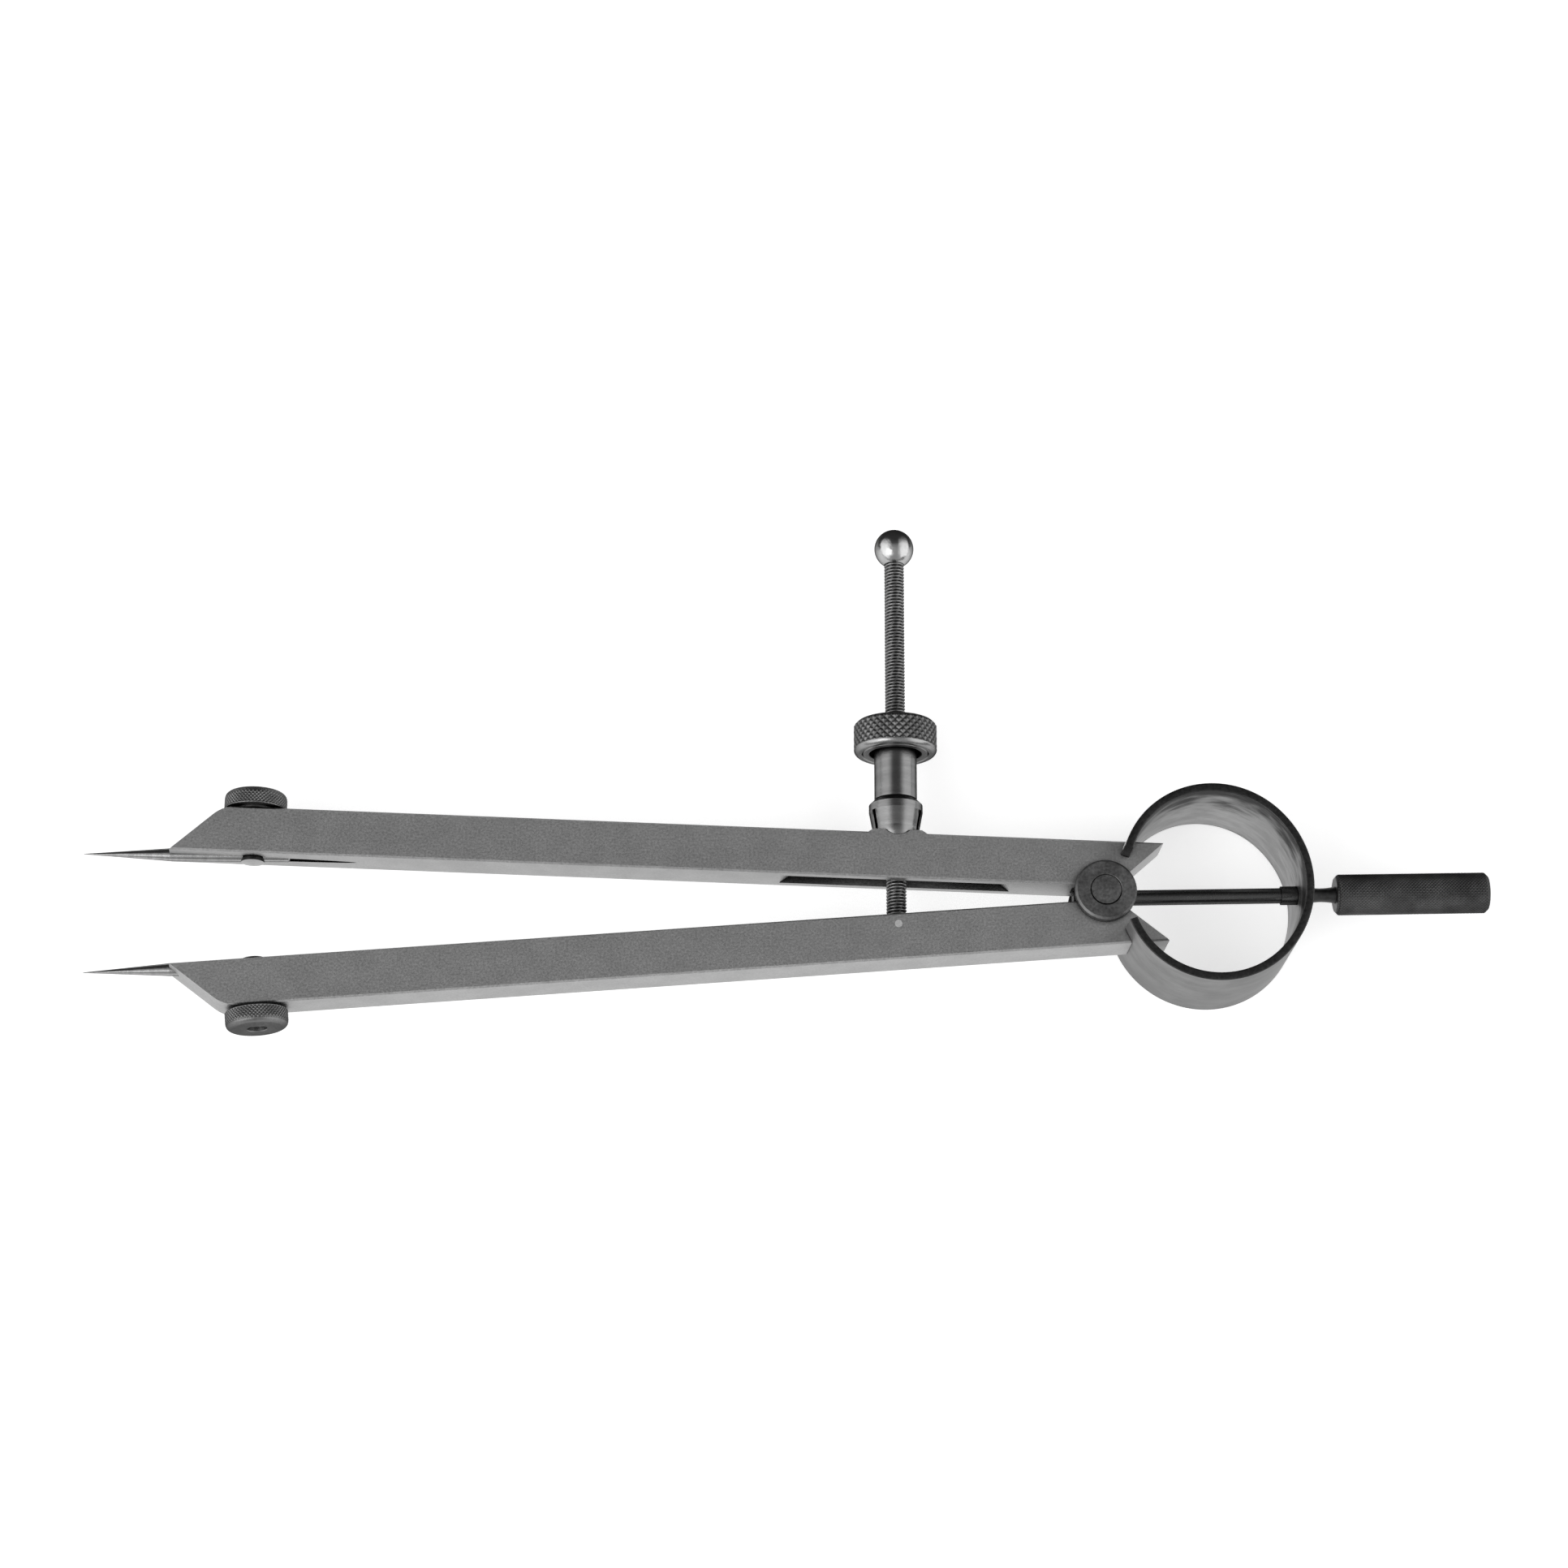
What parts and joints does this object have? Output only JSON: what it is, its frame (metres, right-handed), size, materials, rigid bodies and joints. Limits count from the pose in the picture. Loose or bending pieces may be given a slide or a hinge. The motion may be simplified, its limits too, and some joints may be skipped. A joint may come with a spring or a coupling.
{
  "type": "spring divider",
  "caption": "Spring divider with flat tapered-end legs, clamped needle points, bow spring, knurled handle and a ball-ended adjusting screw with a quick-release nut.",
  "frame": {"origin": "on the fulcrum's pivot axis, at the outer face of the rear flange", "axes": "+X along the handle away from the points, +Y towards the adjusting screw's ball, +Z along the pivot axis towards the front flange"},
  "size_m": [0.2076, 0.0767, 0.0164],
  "materials": {
    "leg_steel": "fine blasted satin, semi-matt",
    "fulcrum_steel": "dark blasted satin",
    "handle_steel": "dark, fine knurl on the grip",
    "spring_steel": "tempered strip with dark edges",
    "point_steel": "ground, hardened",
    "knurled_steel": "dark, knurled rim",
    "screw_steel": "threaded, satin",
    "bright_steel": "turned, bright",
    "polished_steel": "polished"
  },
  "bodies": {
    "fulcrum": {"fulcrum_roller": "fulcrum_steel", "front_flange": "fulcrum_steel", "rear_flange": "fulcrum_steel", "fulcrum_stem": "handle_steel", "handle_grip": "handle_steel", "bow_spring": "spring_steel"},
    "upper_leg": {"upper_leg": "leg_steel", "upper_clamp_stud": "bright_steel"},
    "lower_leg": {"lower_leg": "leg_steel", "lower_clamp_stud": "bright_steel", "screw_anchor_pin": "bright_steel"},
    "upper_point": {"upper_point": "point_steel"},
    "lower_point": {"lower_point": "point_steel"},
    "upper_clamp_nut": {"upper_clamp_nut": "knurled_steel"},
    "lower_clamp_nut": {"lower_clamp_nut": "knurled_steel"},
    "adjusting_screw": {"adjusting_screw": "screw_steel", "screw_ball": "polished_steel"},
    "nut_collet": {"nut_collet": "bright_steel"},
    "adjusting_nut": {"nut_sleeve": "bright_steel", "adjusting_nut": "knurled_steel"}
  },
  "joints": [
    {"name": "upper_leg_swing", "type": "hinge", "parent": "fulcrum", "child": "upper_leg", "pos_m": [0, 0, 0.00475], "axis": [0, 0, -1], "range_deg": [-3, 20], "deforming": ["bow_spring"]},
    {"name": "lower_leg_swing", "type": "hinge", "parent": "fulcrum", "child": "lower_leg", "pos_m": [0, 0, 0.00475], "axis": [0, 0, 1], "range_deg": [-3, 20]},
    {"name": "screw_swivel", "type": "hinge", "parent": "lower_leg", "child": "adjusting_screw", "pos_m": [-0.03081, -0.00436, 0.00475], "axis": [0, 0, -1], "range_deg": [-3.5, 22.8]},
    {"name": "nut_swivel", "type": "hinge", "parent": "upper_leg", "child": "nut_collet", "pos_m": [-0.03024, 0.01099, 0.00475], "axis": [0, 0, 1], "range_deg": [-2.7, 17.5]},
    {"name": "nut_spin", "type": "hinge", "parent": "nut_collet", "child": "adjusting_nut", "pos_m": [-0.03024, 0.01099, 0.00475], "axis": [0.0369, 0.9993, 0], "continuous": true},
    {"name": "upper_point_slide", "type": "slide", "parent": "upper_leg", "child": "upper_point", "axis": [-0.9998, 0.0222, 0], "range_m": [-0.0095, 0.0035]},
    {"name": "lower_point_slide", "type": "slide", "parent": "lower_leg", "child": "lower_point", "axis": [-0.9998, -0.0222, 0], "range_m": [-0.0095, 0.0035]},
    {"name": "upper_clamp_turn", "type": "hinge", "parent": "upper_leg", "child": "upper_clamp_nut", "pos_m": [-0.12477, 0.01492, 0.00475], "axis": [0.0553, 0.9985, 0], "range_deg": [0, 360]},
    {"name": "lower_clamp_turn", "type": "hinge", "parent": "lower_leg", "child": "lower_clamp_nut", "pos_m": [-0.12477, -0.01492, 0.00475], "axis": [0.0553, -0.9985, 0], "range_deg": [0, 360]}
  ],
  "couplings": [
    {"joint": "lower_leg_swing", "follows": "upper_leg_swing", "ratio": 1},
    {"joint": "screw_swivel", "follows": "upper_leg_swing", "ratio": 1.134},
    {"joint": "nut_swivel", "follows": "upper_leg_swing", "ratio": 0.866}
  ]
}
